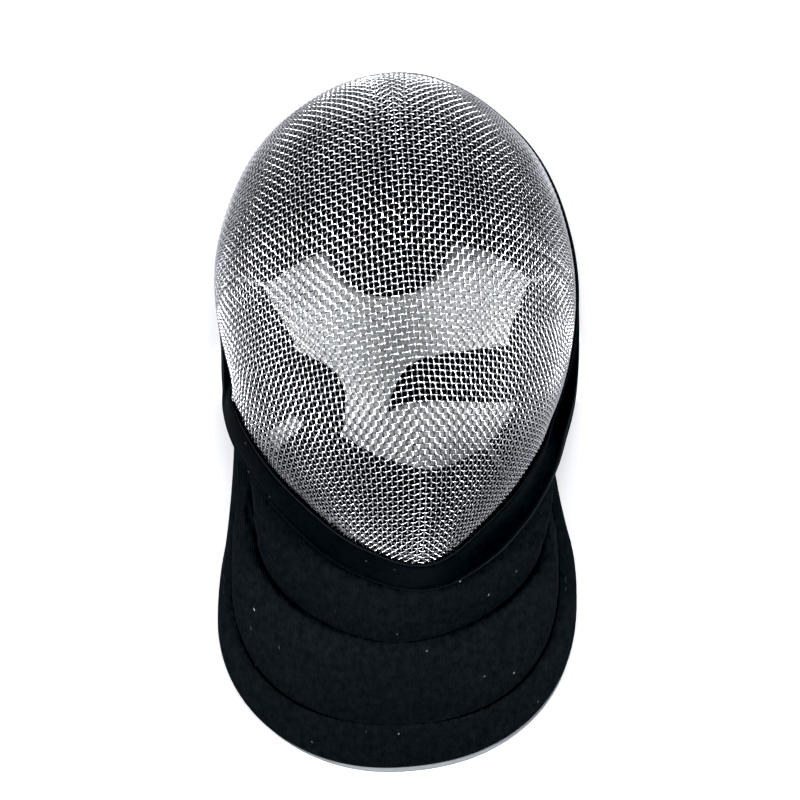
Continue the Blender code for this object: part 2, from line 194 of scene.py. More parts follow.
def white_room():
    """The studio's own light: a pale backdrop low down, dim walls, and a pale ceiling."""
    world = bpy.data.worlds.new("white_room")
    world.use_nodes = True
    tree = world.node_tree
    place = add_node(tree, "ShaderNodeTexCoord").outputs["Generated"]
    height = add_node(tree, "ShaderNodeSeparateXYZ", Vector=place).outputs["Z"]
    softly = {"interpolation_type": "SMOOTHSTEP"}
    upper = remapped(tree, height, CEILING_EDGE, (WALL_LIGHT, CEILING_LIGHT), softly)
    lower = remapped(tree, height, BACKDROP_EDGE, (BACKDROP_LIGHT - WALL_LIGHT, 0.0), softly)
    light = work_out(tree, "ShaderNodeMath", "ADD", upper, lower).outputs[0]
    background = tree.nodes["Background"]
    feed(tree, background.inputs["Color"], ROOM_WHITE)
    feed(tree, background.inputs["Strength"], light)
    scene.world = world


white_room()

# ================================================================== the wire mesh
# The face is one sheet of woven steel wire, pressed into a dome with a soft keel down the middle.
# The wires are 1 mm thick and 3.2 mm apart, each one bent over and under those that it crosses, and
# the squares lean over where the dome curves both ways.

MM = 0.001
STAND_AT = np.array((0.8, 19.9, 0.0))  # from the dome's own place to the mask's
CREST = (4.1, 38.1)
CREST_Z = 170.0
MESH_TUCK = 8.0  # how far the mesh goes on behind the trim
POLAR_STEP = 0.01  # radians, for slopes

WIRE = 0.52  # radius
WIRE_TONES = 0.12  # how much darker or lighter than the others a wire can be
WIRE_SEED = 4
DOWN_CRIMP = 0.5  # how far the wires that run down swing out and in between the others
ACROSS_CRIMP = 0.75
STEEL_GREYS = ((0.38, 0.387, 0.404), (0.50, 0.51, 0.531))
STEEL_STOPS = (0.3, 0.75)  # the cloudiness and tone that give those greys
STEEL_GRAIN = (0.3, 0.7)
STEEL_ROUGHNESS = (0.16, 0.28)  # at those values of its grain
WARP_PITCH = 3.18  # between the wires that run down the face
WEFT_PITCH = 3.25  # between those that run across it
WIRE_SIDES = 6
WIRE_STEPS = 3  # for each crossing
SHORTEST_WIRE = 3  # crossings
NET_ACROSS = 62  # crossings from the keel to the furthest side
NET_ALONG = 68  # and from the first row to the crown or the chin
NET_FAULT = 0.05  # the largest error at a crossing that counts as found
NET_LEAN = 0.93  # the cosine at which a square has closed up
FIRST_ROW_Y = 95.0
FIRST_ROW_DROP = 20.0  # about how far it lies below the crest
FIRST_ROW_LEANS = {-1: 10.0, 1: -2.5}  # degrees that the first row leans on each side of the keel
# The press draws the rows up towards the sides. Crossings that a row climbs for each one further
# out, to the left and right, as factors of 1, out, up, out * up, up * up and out * out: out from
# the keel and up from the first row, in lots of ROW_LOT crossings.
ROW_RISES = {
    -1: (0.033, 0.147, -0.004, -0.076, 0.011, -0.099),
    1: (0.082, 0.127, -0.027, -0.071, -0.016, -0.151),
}
ROW_LOT = 30
ROW_RISE_OUT = 1.0  # the furthest lots that they are known for
ROW_RISE_UP = (-1.6, 0.8)


def table(columns, *rows):
    """A table with named columns, each of them an array."""
    return dict(zip(columns.split(), np.array(rows, dtype=float).T))


# Looking out from the crest: heading 0 is +X, 90 the crown and 270 the chin. half_width is the
# dome's reach at its widest height, waist_z, and a higher fullness gives it a squarer shoulder. The
# mesh shows down to rim_z, and the trim goes on from there to its lower fold.
DOME = table(
    "heading half_width waist_z fullness rim_z trim_reach trim_z",
    (0, 94.7, 36, 2.38, 35, 98.5, 3),
    (30, 106.6, 32, 2.36, 34, 107.4, 2),
    (60, 128.0, 44, 2.32, 40, 128.6, 7),
    (90, 145.2, 53, 2.44, 48, 132.0, 18),
    (120, 137.8, 53, 1.96, 42, 134.0, 9),
    (150, 120.4, 50, 1.82, 34, 123.6, 2),
    (180, 105.1, 57, 1.91, 31, 108.8, 3),
    (195, 101.1, 73, 1.84, 56, 109.5, 24),
    (203, 106.5, 59, 1.87, 88, 110.6, 44),
    (210, 115.8, 30, 1.98, 95, 112.3, 60),
    (225, 121.1, 27, 2.05, 100, 117.0, 65),
    (240, 124.4, 35, 2.21, 103.5, 124.2, 68),
    (258, 139.3, 23, 2.45, 107.3, 135.6, 72),
    (275, 146.0, 27, 2.58, 108.7, 141.5, 79),
    (291, 128.4, 18, 2.79, 102.4, 133.5, 69),
    (300, 119.2, 22, 2.73, 98.4, 126.2, 65),
    (315, 102.8, 46, 2.51, 84.0, 115.2, 54),
    (330, 94.0, 55, 2.34, 50.0, 107.5, 30),
)
ROUND_STEPS = 10  # for each degree of heading
KEEL_X = 2.7  # from the crest, to the right
KEEL_LEAN = -0.08  # to the right for each millimetre to the crown
KEEL_SOFT = 2.0  # the crease's radius
# How much further than the plain dome each flank falls away, and in what run.
KEEL_FLANKS = table("side drop run", (-1, 7.0, 80.0), (1, 21.5, 80.0))
# The middle wire of the face, which lies along the keel.
KEEL_WIRE = table(
    "y x",
    (-95, 11.0),
    (-88, 11.9),
    (-40, 13.5),
    (20, 8.5),
    (75, 3.6),
    (115, 2.1),
    (190, -2.4),
)


def smooth(xs, ys, x):
    """Heights at x on a smooth curve through points. The first and last point only steer it."""
    i = np.clip(np.searchsorted(xs, x, side="right") - 1, 1, len(xs) - 3)
    run = xs[i + 1] - xs[i]
    t = (x - xs[i]) / run
    slope_in = (ys[i + 1] - ys[i - 1]) / (xs[i + 1] - xs[i - 1])
    slope_out = (ys[i + 2] - ys[i]) / (xs[i + 2] - xs[i])
    return (
        (2 * t**3 - 3 * t**2 + 1) * ys[i]
        + (t**3 - 2 * t**2 + t) * run * slope_in
        + (3 * t**2 - 2 * t**3) * ys[i + 1]
        + (t**3 - t**2) * run * slope_out
    )


def along(xs, ys, x):
    """Heights at x on a smooth open curve through points, held at its ends."""
    xs, ys = np.asarray(xs, float), np.asarray(ys, float)
    if xs[0] > xs[-1]:
        xs, ys = xs[::-1], ys[::-1]
    steered_xs = np.concatenate(([2 * xs[0] - xs[1]], xs, [2 * xs[-1] - xs[-2]]))
    steered_ys = np.concatenate(([2 * ys[0] - ys[1]], ys, [2 * ys[-1] - ys[-2]]))
    return smooth(steered_xs, steered_ys, np.clip(x, xs[0], xs[-1]))


def around(column):
    """A column of the dome's table at close headings all round, on a smooth closed curve."""
    knots = DOME["heading"]
    knots = np.concatenate((knots[-2:] - 360, knots, knots[:2] + 360))
    values = np.concatenate((DOME[column][-2:], DOME[column], DOME[column][:2]))
    return smooth(knots, values, np.arange(0, 360, 1 / ROUND_STEPS))


ROUND = {column: around(column) for column in DOME if column != "heading"}


def at(column, heading):
    """A column of the dome's table at a heading."""
    values = ROUND[column]
    place = np.mod(heading, 360) * ROUND_STEPS
    first = np.floor(place).astype(int) % len(values)
    part = place - np.floor(place)
    return values[first] * (1 - part) + values[(first + 1) % len(values)] * part


def rim_level(heading):
    """The rim's height over the waist, as a share of the crest's."""
    return (at("rim_z", heading) - at("waist_z", heading)) / (CREST_Z - at("waist_z", heading))


def rim_share(heading):
    """The rim's reach, as a share of the dome's half width."""
    return (1 - rim_level(heading) ** 2) ** (1 / at("fullness", heading))


def keel_drop(heading, reach, share):
    """How far a flank lies below the plain dome."""
    turn = np.radians(heading)
    off = reach * np.cos(turn) - KEEL_X - KEEL_LEAN * reach * np.sin(turn)
    flank = (off > 0).astype(int)
    off = np.hypot(off, KEEL_SOFT) - KEEL_SOFT
    calm = (1 - np.minimum(share / rim_share(heading), 1) ** 8) ** 2
    return KEEL_FLANKS["drop"][flank] * (1 - np.exp(-off / KEEL_FLANKS["run"][flank])) * calm


def dome_section(heading, polar):
    """Reach and height on the dome, polar radians down from the crest."""
    waist_z = at("waist_z", heading)
    share = np.sin(polar)
    reach = at("half_width", heading) * share
    level = np.sqrt(np.maximum(1 - share ** at("fullness", heading), 0))
    z = waist_z + (CREST_Z - waist_z) * np.copysign(level, np.cos(polar))
    return reach, z - keel_drop(heading, reach, share)


def points_at(x, y, z):
    """Points from their three numbers, each of them a grid or the same for all."""
    return np.stack(np.broadcast_arrays(x, y, z), axis=-1)


def spot(heading, reach, z):
    """The point at a heading, a reach from the crest and a height."""
    turn = np.radians(heading)
    return points_at(CREST[0] + reach * np.cos(turn), CREST[1] + reach * np.sin(turn), z)


def unit(vectors):
    """Vectors at length 1."""
    return vectors / np.maximum(np.linalg.norm(vectors, axis=-1, keepdims=True), 1e-12)


def dome_spot(heading, polar, out):
    """Points out from the dome along its normal."""
    point = spot(heading, *dome_section(heading, polar))
    down = spot(heading, *dome_section(heading, polar + POLAR_STEP)) - point
    round_way = spot(heading + 1, *dome_section(heading + 1, polar)) - point
    return point + unit(np.cross(down, round_way)) * out[..., None]


def rim_polar(heading):
    """Where the mesh meets the trim's upper edge."""
    above_waist = np.arcsin(rim_share(heading))
    return np.where(rim_level(heading) >= 0, above_waist, math.pi - above_waist)


def mesh_edge_polar(heading):
    """Where the mesh ends, behind the trim."""
    rim = rim_polar(heading)
    reach, z = dome_section(heading, rim)
    further = dome_section(heading, rim + POLAR_STEP)
    return rim + MESH_TUCK / (np.hypot(further[0] - reach, further[1] - z) / POLAR_STEP)


def off_dome(points):
    """Nought on the dome, less inside it and more outside."""
    x, y, z = points[..., 0] - CREST[0], points[..., 1] - CREST[1], points[..., 2]
    heading, reach = np.degrees(np.arctan2(y, x)), np.hypot(x, y)
    share = reach / at("half_width", heading)
    waist_z = at("waist_z", heading)
    level = (z + keel_drop(heading, reach, share) - waist_z) / (CREST_Z - waist_z)
    return (share ** at("fullness", heading) + level**2 - 1) * 100


def dome_slope(points):
    """The gradient of off_dome."""
    step = 0.02
    sides = [
        off_dome(points + step * np.eye(3)[axis]) - off_dome(points - step * np.eye(3)[axis])
        for axis in range(3)
    ]
    return np.stack(sides, axis=-1) / (2 * step)


def onto_dome(points):
    """The points moved straight onto the dome."""
    for _ in range(4):
        slope = dome_slope(points)
        points = points - slope * (off_dome(points) / (slope**2).sum(-1))[..., None]
    return points


def line_of_crossings(start, way, pitch, count):
    """Crossings along one straight-laid wire, from a start and the way that it sets out."""
    points = [start]
    for _ in range(count):
        normal = unit(dome_slope(points[-1]))
        way = unit(way - normal * (way @ normal))
        ahead = points[-1] + way * pitch
        for _ in range(3):
            ahead = onto_dome(ahead)
            ahead = points[-1] + unit(ahead - points[-1]) * pitch
        way = ahead - points[-1]
        points.append(ahead)
    return np.array(points)


def keel_crossings(way, count):
    """Crossings along the middle wire, from the first row to the crown (way 1) or the chin (-1)."""
    start_x = along(KEEL_WIRE["y"], KEEL_WIRE["x"], FIRST_ROW_Y)
    points = [onto_dome(np.array((start_x, FIRST_ROW_Y, CREST_Z - FIRST_ROW_DROP)))]
    ahead = points[0] + np.array((0.0, way * WEFT_PITCH, 0.0))
    for _ in range(count):
        for _ in range(4):
            ahead[0] = along(KEEL_WIRE["y"], KEEL_WIRE["x"], ahead[1])
            ahead = onto_dome(ahead)
            ahead = points[-1] + unit(ahead - points[-1]) * WEFT_PITCH
        points.append(ahead)
        ahead = 2 * points[-1] - points[-2]
    return np.array(points)


def weave_quarter(across, down):
    """The crossings of a quarter of the face, from its two edges: each one keeps its distance from
    the two before it."""
    net = np.full((len(across), len(down), 3), np.nan)
    net[:, 0], net[0, :] = across, down
    for total in range(2, len(across) + len(down) - 1):
        i = np.arange(max(1, total - len(down) + 1), min(len(across) - 1, total - 1) + 1)
        j = total - i
        side, above, before = net[i - 1, j], net[i, j - 1], net[i - 1, j - 1]
        fine = ~np.isnan(side[:, 0] + above[:, 0] + before[:, 0])
        i, j, side, above, before = i[fine], j[fine], side[fine], above[fine], before[fine]
        if len(i) == 0:
            continue
        point = side + above - before
        for _ in range(6):
            wrong = np.stack(
                (
                    ((point - side) ** 2).sum(-1) - WARP_PITCH**2,
                    ((point - above) ** 2).sum(-1) - WEFT_PITCH**2,
                    off_dome(point),
                ),
                axis=-1,
            )
            turn = np.stack((2 * (point - side), 2 * (point - above), dome_slope(point)), axis=1)
            point = point - np.linalg.solve(turn + 1e-9 * np.eye(3), wrong[..., None])[..., 0]
        lean = (unit(point - side) * unit(point - above)).sum(-1)
        good = (np.abs(wrong).max(-1) < NET_FAULT) & (np.abs(lean) < NET_LEAN)
        net[i[good], j[good]] = point[good]
    return net


def draw_up(net):
    """The crossings after the press has drawn the rows up along the wires that run down."""
    drawn = np.full_like(net, np.nan)
    for side, factors in ROW_RISES.items():
        up = np.arange(-NET_ALONG, NET_ALONG + 1.0)
        for out in range(NET_ACROSS + 1):
            wire = net[NET_ACROSS + side * out]
            first = np.clip(np.floor(up + NET_ALONG).astype(int), 0, 2 * NET_ALONG - 1)
            part = (up + NET_ALONG - first)[:, None]
            points = wire[first] * (1 - part) + wire[first + 1] * part
            known = (up <= NET_ALONG) & ~np.isnan(points[:, 0])
            drawn[NET_ACROSS + side * out, known] = onto_dome(points[known])
            lots_out = min(out / ROW_LOT, ROW_RISE_OUT)
            lots_up = np.clip(up / ROW_LOT, *ROW_RISE_UP)
            terms = (1, lots_out, lots_up, lots_out * lots_up, lots_up**2, lots_out**2)
            up = up + sum(factor * term for factor, term in zip(factors, terms))
    return drawn


def weave():
    """All the crossings, with [wire down, wire across] counted from the middle of each way."""
    net = np.full((2 * NET_ACROSS + 1, 2 * NET_ALONG + 1, 3), np.nan)
    to_crown = keel_crossings(1, NET_ALONG)
    to_chin = keel_crossings(-1, NET_ALONG)
    for side, lean in FIRST_ROW_LEANS.items():
        turn = math.radians(lean)
        way = side * np.array((math.cos(turn), math.sin(turn), 0.0))
        across = line_of_crossings(to_crown[0], way, WARP_PITCH, NET_ACROSS)
        for down, up_down in ((to_crown, 1), (to_chin, -1)):
            quarter = weave_quarter(across, down)
            net[NET_ACROSS::side, NET_ALONG::up_down] = quarter
    return draw_up(net)


def fine_line(values, steps):
    """A smooth curve through rows of values, with so many steps from each to the next."""
    knots = np.arange(len(values))
    places = np.linspace(0, knots[-1], steps * knots[-1] + 1)
    return np.stack([along(knots, column, places) for column in values.T], axis=-1)


def add_mesh(name, points, faces, material, uv=None):
    """A mesh object from points in millimetres, in the dome's own place."""
    data = bpy.data.meshes.new(name)
    data.from_pydata(((points + STAND_AT) * MM).tolist(), [], faces)
    data.update()
    data.shade_smooth()
    if uv is not None:
        corner = np.zeros(len(data.loops), int)
        data.loops.foreach_get("vertex_index", corner)
        layer = data.uv_layers.new(name="cloth")
        layer.data.foreach_set("uv", (uv[corner] * MM).astype(np.float32).ravel())
    data.materials.append(material)
    obj = bpy.data.objects.new(name, data)
    scene.collection.objects.link(obj)
    return obj


def wire_tubes(name, wires, crimp, material):
    """One mesh of round wires, each from its crossings, their normals, its first side and tone."""
    rings, faces, tones, first = [], [], [], 0
    turns = np.arange(WIRE_SIDES) * 2 * math.pi / WIRE_SIDES
    for crossings, normals, side, tone in wires:
        line = fine_line(crossings, WIRE_STEPS)
        normal = unit(fine_line(normals, WIRE_STEPS))
        bend = np.cos(np.arange(len(line)) * math.pi / WIRE_STEPS) * side
        line = line + normal * (bend * crimp - 2 * WIRE)[:, None]  # its outside is the dome
        way = unit(np.gradient(line, axis=0))
        sideways = unit(np.cross(way, normal))
        out = np.cross(sideways, way)
        painted_shade_ring = (
            line[:, None]
            + WIRE * np.cos(turns)[None, :, None] * out[:, None]
            + WIRE * np.sin(turns)[None, :, None] * sideways[:, None]
        )
        rings.append(painted_shade_ring.reshape(-1, 3))
        tones.append(np.full(len(line) * WIRE_SIDES, tone))
        step = first + WIRE_SIDES * np.arange(len(line) - 1)[:, None]
        here, there = np.arange(WIRE_SIDES)[None], np.roll(np.arange(WIRE_SIDES), -1)[None]
        quads = (step + here, step + there, step + there + WIRE_SIDES, step + here + WIRE_SIDES)
        faces += np.stack(quads, axis=-1).reshape(-1, 4).tolist()
        end = first + WIRE_SIDES * len(line)
        faces.append(list(range(first + WIRE_SIDES - 1, first - 1, -1)))
        faces.append(list(range(end - WIRE_SIDES, end)))
        first = end
    obj = add_mesh(name, np.concatenate(rings), faces, material)
    wire_tone = obj.data.attributes.new("wire_tone", "FLOAT", "POINT")
    wire_tone.data.foreach_set("value", np.concatenate(tones).astype(np.float32))
    return obj


def shaded(tree, factor, stops, colours):
    """A colour that runs from one to another as a factor runs between two stops."""
    node = add_node(tree, "ShaderNodeValToRGB", Fac=factor)
    for element, stop, colour in zip(node.color_ramp.elements, stops, colours):
        element.position = stop
        element.color = (*colour, 1)
    return node.outputs["Color"]


def steel():
    """Bare drawn steel wire: bright, a little uneven, each wire with its own tone."""
    material, shader, tree = new_finish("steel_wire", Metallic=1.0)
    place = add_node(tree, "ShaderNodeTexCoord").outputs["Object"]
    cloud = add_node(tree, "ShaderNodeTexNoise", Vector=place, Scale=45.0, Detail=4.0)
    grain = add_node(tree, "ShaderNodeTexNoise", Vector=place, Scale=2600.0, Detail=2.0)
    tone = add_node(tree, "ShaderNodeAttribute", {"attribute_name": "wire_tone"})
    uneven = work_out(tree, "ShaderNodeMath", "ADD", cloud.outputs["Fac"], tone.outputs["Fac"])
    colour = shaded(tree, uneven.outputs[0], STEEL_STOPS, STEEL_GREYS)
    feed(tree, shader.inputs["Base Color"], colour)
    dull = remapped(tree, grain.outputs["Fac"], STEEL_GRAIN, STEEL_ROUGHNESS)
    feed(tree, shader.inputs["Roughness"], dull)
    emboss(tree, shader, grain.outputs["Fac"], strength=0.15, depth=0.00005)
    return material


def longest_run(inside):
    """The longest unbroken run of true values, as a slice."""
    best, start = slice(0, 0), None
    for k, value in enumerate(list(inside) + [False]):
        if value and start is None:
            start = k
        if not value and start is not None:
            if k - start > best.stop - best.start:
                best = slice(start, k)
            start = None
    return best


def make_wires():
    """The woven face, in four pieces: the wires that run down, and those that run across."""
    net = weave()
    flat = np.where(np.isnan(net), 0.0, net)
    heading = np.degrees(np.arctan2(flat[..., 1] - CREST[1], flat[..., 0] - CREST[0]))
    edge_z = dome_section(heading, mesh_edge_polar(heading))[1]
    inside = ~np.isnan(net[..., 0]) & (flat[..., 2] > edge_z)
    normals = np.zeros_like(net)
    normals[inside] = unit(dome_slope(net[inside]))
    random = np.random.default_rng(WIRE_SEED)
    tones = random.uniform(-WIRE_TONES, WIRE_TONES, sum(net.shape[:2]))

    def wires_of(points, outs, kept, parity, tone):
        """The wires along a net's rows. Parity says which of them starts over the others."""
        found = []
        for k in range(points.shape[0]):
            run = longest_run(kept[k])
            if run.stop - run.start >= SHORTEST_WIRE:
                side = 1 if (k + run.start + parity) % 2 == 0 else -1
                found.append((points[k, run], outs[k, run], side, tone[k]))
        return found

    down = wires_of(net, normals, inside, 0, tones)
    rows, row_normals = net.transpose(1, 0, 2), normals.transpose(1, 0, 2)
    across = wires_of(rows, row_normals, inside.T, 1, tones[::-1])
    finish = steel()
    families = (("wires_down", down, DOWN_CRIMP), ("wires_across", across, ACROSS_CRIMP))
    for name, wires, crimp in families:
        lengths = np.cumsum([len(wire[0]) for wire in wires])
        half = int(np.searchsorted(lengths, lengths[-1] / 2))
        for part, some in (("first", wires[:half]), ("second", wires[half:])):
            obj = wire_tubes(f"{name}_{part}", some, crimp, finish)
            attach(obj, "root")
            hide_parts("wire_mesh")


make_wires()

# ================================================================== the trim
# A band of padded black cloth runs all round the edge of the mesh. It is folded over a thin foam
# strip, sewn on at the mesh, and its lower fold stands a little out from the bib.

FIT_GAP = 0.4  # between the mesh and the band
TRIM_WALL = 2.5
TRIM_FOOT = 0.5  # the least height of its path
TRIM_SEAT = 0.3  # the share of its width that lies on the mesh
TRIM_STEPS = 400
TRIM_ROWS = 20
TRIM_EDGE = 0.07  # the share of its width in which each of its edges is round
TRIM_HANG = 0.45  # how far it goes on straight past the mesh before it bends, as a share
TRIM_LIP = 0.7  # how much thicker the lower fold is
TRIM_LIP_AT = 0.93
TRIM_LIP_WIDTH = 0.05
TRIM_UNEVEN = 0.35  # how far its padding swells and sinks
SHARE_STEP = 0.01  # of its width, for slopes
EDGE_TURNS = (0, 25, 50, 72)  # degrees round an edge at which its rows lie
RIPPLE_WAVES = 6
RIPPLE_PACE = (1.0, 4.0)
RIPPLE_SPAN = (60, 2)  # degrees round it and widths across it that count as one length
RIPPLE_SEED = 3
TRIM_BLACK = (0.0070, 0.0081, 0.0090)
# A painted highlight: the paler black of the band's creases where they catch the side lamps.
FOLD_HIGHLIGHT_GREY = (0.030, 0.033, 0.037, 1)
# The creases that carry a painted highlight, where they catch the side lamps: the seam at the mesh
# and the lower fold. At the chin, which lies in shade, they hardly do.
HIGHLIT_CREASES = table("share width", (0.012, 0.006), (0.955, 0.018))
SHADED_CHIN_HEADING = 272.0
SHADED_CHIN_SPAN = 28.0
SHADED_CHIN_SHARE = 0.9
KNIT_SHADES = (0.72, 1.25)  # the darkest and palest of its colour
KNIT_STOPS = (0.35, 0.7)  # the mottling that gives those
SHEEN_TINT = (0.75, 0.88, 1.0, 1)
LINT_WHITE = (0.30, 0.32, 0.34, 1)
LINT_EDGE = (0.04, 0.015)  # from a speck's middle to where it ends and where it is full
LINT_CHANCE = (0.5, 1.0)
LINT_RARENESS = 5.0
WAVE_LENGTH = 0.314159  # from crest to crest of a wave node at scale 1


def trim_section(heading, share):
    """Reach and height of the band's path, from the rim (share 0) to its lower fold (1)."""
    rim, edge = rim_polar(heading), mesh_edge_polar(heading)
    seated = np.stack(dome_section(heading, rim + (edge - rim) * share / TRIM_SEAT), axis=-1)
    start = np.stack(dome_section(heading, edge), axis=-1)
    way = unit(start - np.stack(dome_section(heading, edge - POLAR_STEP), axis=-1))
    end = np.stack((at("trim_reach", heading), at("trim_z", heading)), axis=-1)
    bend = start + way * np.linalg.norm(end - start, axis=-1, keepdims=True) * TRIM_HANG
    t = np.clip((share - TRIM_SEAT) / (1 - TRIM_SEAT), 0, 1)[..., None]
    hung = start * (1 - t) ** 2 + bend * 2 * t * (1 - t) + end * t**2
    return np.where(share[..., None] <= TRIM_SEAT, seated, hung)


def trim_spot(heading, share, out):
    """A point out from the band's path."""
    heading, share, out = np.broadcast_arrays(heading, share, out)
    middle = trim_section(heading, share)
    before = trim_section(heading, np.maximum(share - SHARE_STEP, 0))
    after = trim_section(heading, np.minimum(share + SHARE_STEP, 1))
    way = unit(after - before)
    z = np.maximum(middle[..., 1] + way[..., 0] * out, TRIM_FOOT)
    return spot(heading, middle[..., 0] - way[..., 1] * out, z)


def edged(count, near_edge):
    """Shares from 0 to 1, close together within near_edge of each end, where an edge is round."""
    edge = near_edge * (1 - np.cos(np.radians(EDGE_TURNS)))
    return np.concatenate((edge, np.linspace(near_edge, 1 - near_edge, count), 1 - edge[::-1]))


def roundness(shares, near_edge):
    """How much of its thickness a wall has at each share: none at its ends, all past the edge."""
    inward = np.minimum(np.minimum(shares, 1 - shares) / near_edge, 1)
    return np.sqrt(np.maximum(1 - (1 - inward) ** 2, 0))


def slab(name, outer, inner, material, uv, painted_shade_ring=False):
    """A closed wall between two grids of points that meet along their edges. A ring's first row
    follows its last one."""
    rows, columns = outer.shape[:2]
    top = np.arange(rows * columns).reshape(rows, columns)
    below = top + rows * columns
    below[:, 0], below[:, -1] = top[:, 0], top[:, -1]
    if painted_shade_ring:
        top, below = (np.concatenate((grid, grid[:1])) for grid in (top, below))
    else:
        below[0], below[-1] = top[0], top[-1]
    quads = []
    for grid, turned in ((top, False), (below, True)):
        corners = [grid[:-1, :-1], grid[1:, :-1], grid[1:, 1:], grid[:-1, 1:]]
        quads.append(np.stack(corners[::-1] if turned else corners, axis=-1).reshape(-1, 4))
    quads = np.concatenate(quads)
    used, quads = np.unique(quads, return_inverse=True)
    points = np.concatenate((outer.reshape(-1, 3), inner.reshape(-1, 3)))[used]
    both = np.concatenate((uv.reshape(-1, 2), uv.reshape(-1, 2)))[used]
    return add_mesh(name, points, quads.reshape(-1, 4).tolist(), material, both)


def run_lengths(grid, axis):
    """The length along a grid's rows or columns, from the first one."""
    steps = np.linalg.norm(np.diff(grid, axis=axis), axis=-1)
    lengths = np.cumsum(steps, axis=axis)
    return np.insert(lengths, 0, 0, axis=axis)


def cloth_lengths(grid):
    """How far along and across its cloth each point of a grid lies."""
    return np.stack((run_lengths(grid, 0), run_lengths(grid, 1)), axis=-1)


def ripple(u, v):
    """Soft unevenness from -1 to 1: a few sine waves over two lengths."""
    random = np.random.default_rng(RIPPLE_SEED)
    total = 0
    for _ in range(RIPPLE_WAVES):
        turn = random.uniform(0, 2 * math.pi)
        pace = random.uniform(*RIPPLE_PACE)
        phase = random.uniform(0, 2 * math.pi)
        way = u * math.cos(turn) + v * math.sin(turn)
        total = total + np.sin(2 * math.pi * pace * way + phase)
    return total / RIPPLE_WAVES


def shades(colour, shares):
    """A colour at some shares of its brightness."""
    return [[share * part for part in colour] for share in shares]


def knit(name, colour, rib, rib_depth, lint, highlit=False):
    """Black knitted cloth: fine upright ribs, a fuzzy nap, and specks of white lint. Where asked, a
    painted highlight makes it paler along the creases that a point attribute of the mesh marks."""
    material, shader, tree = new_finish(
        name,
        Roughness=0.9,
        Specular_IOR_Level=0.03,
        Sheen_Weight=0.03,
        Sheen_Roughness=0.45,
        Sheen_Tint=SHEEN_TINT,
    )
    cloth = add_node(tree, "ShaderNodeUVMap", {"uv_map": "cloth"}).outputs["UV"]
    place = add_node(tree, "ShaderNodeTexCoord").outputs["Object"]

    mottle = add_node(
        tree, "ShaderNodeTexNoise", Vector=place, Scale=260.0, Detail=6.0, Roughness=0.75
    )
    black = shaded(tree, mottle.outputs["Fac"], KNIT_STOPS, shades(colour, KNIT_SHADES))
    # The painted highlight: paler along the creases that the attribute marks.
    if highlit:
        painted_highlight = add_node(tree, "ShaderNodeAttribute", {"attribute_name": "painted_highlight"})
        black = mixed(tree, painted_highlight.outputs["Fac"], black, FOLD_HIGHLIGHT_GREY)

    flat = {"voronoi_dimensions": "2D"}
    speck = add_node(tree, "ShaderNodeTexVoronoi", flat, Vector=cloth, Scale=lint)
    near = remapped(tree, speck.outputs["Distance"], LINT_EDGE)
    chance = add_node(tree, "ShaderNodeSeparateColor", Color=speck.outputs["Color"])
    some = remapped(tree, chance.outputs["Red"], LINT_CHANCE)
    few = work_out(tree, "ShaderNodeMath", "POWER", some, LINT_RARENESS)
    specks = work_out(tree, "ShaderNodeMath", "MULTIPLY", near, few.outputs[0])
    specked = mixed(tree, specks.outputs[0], black, LINT_WHITE)
    feed(tree, shader.inputs["Base Color"], specked)

    bands = {"wave_type": "BANDS", "bands_direction": "X"}
    ribs = add_node(
        tree,
        "ShaderNodeTexWave",
        bands,
        Vector=cloth,
        Scale=WAVE_LENGTH / rib,
        Distortion=0.6,
        Detail=1.0,
        Detail_Scale=2.0,
    )
    nap = add_node(
        tree, "ShaderNodeTexNoise", Vector=place, Scale=1400.0, Detail=4.0, Roughness=0.7
    )
    emboss(tree, shader, ribs.outputs["Fac"], strength=1.0, depth=rib_depth)
    emboss(tree, shader, nap.outputs["Fac"], strength=0.6, depth=0.00025)
    return material


def make_trim():
    """The band, a closed ring, and how much painted highlight each of its points has."""
    headings = np.arange(TRIM_STEPS) * 360 / TRIM_STEPS
    shares = edged(TRIM_ROWS, TRIM_EDGE)
    heading, share = np.meshgrid(headings, shares, indexing="ij")
    thick = roundness(shares, TRIM_EDGE)[None, :]
    lip = TRIM_LIP * np.exp(-(((share - TRIM_LIP_AT) / TRIM_LIP_WIDTH) ** 2))
    swell = ripple(heading / RIPPLE_SPAN[0], share / RIPPLE_SPAN[1])
    uneven = TRIM_UNEVEN * swell * np.sin(math.pi * share)
    middle = FIT_GAP + TRIM_WALL / 2
    outer = trim_spot(heading, share, middle + (TRIM_WALL / 2 + lip + uneven) * thick)
    inner = trim_spot(heading, share, middle - TRIM_WALL / 2 * thick)
    cloth = knit("trim_cloth", TRIM_BLACK, rib=0.0009, rib_depth=0.00004, lint=55, highlit=True)
    uv = cloth_lengths(outer)
    obj = slab("trim_band", outer[::-1], inner[::-1], cloth, uv[::-1], painted_shade_ring=True)
    # Painted highlight along the two creases, faded at the chin, where the band lies in shade.
    off_crease = (share[..., None] - HIGHLIT_CREASES["share"]) / HIGHLIT_CREASES["width"]
    off_chin = (heading - SHADED_CHIN_HEADING) / SHADED_CHIN_SPAN
    crease_highlight = np.exp(-(off_crease**2)).sum(-1) * (1 - SHADED_CHIN_SHARE * np.exp(-(off_chin**2)))
    painted_highlight = obj.data.attributes.new("painted_highlight", "FLOAT", "POINT")
    both_faces = np.concatenate((crease_highlight.ravel(), 0 * crease_highlight[:, 1:-1].ravel()))
    painted_highlight.data.foreach_set("value", np.minimum(both_faces, 1).astype(np.float32))
    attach(obj, "root")
    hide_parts("trim")


make_trim()

# ================================================================== the throat bib
# The bib is black knitted cloth over soft padding, quilted into two crescent rolls that hang over
# each other and a flat flange with a round hem. It is sewn in behind the band's lower fold.

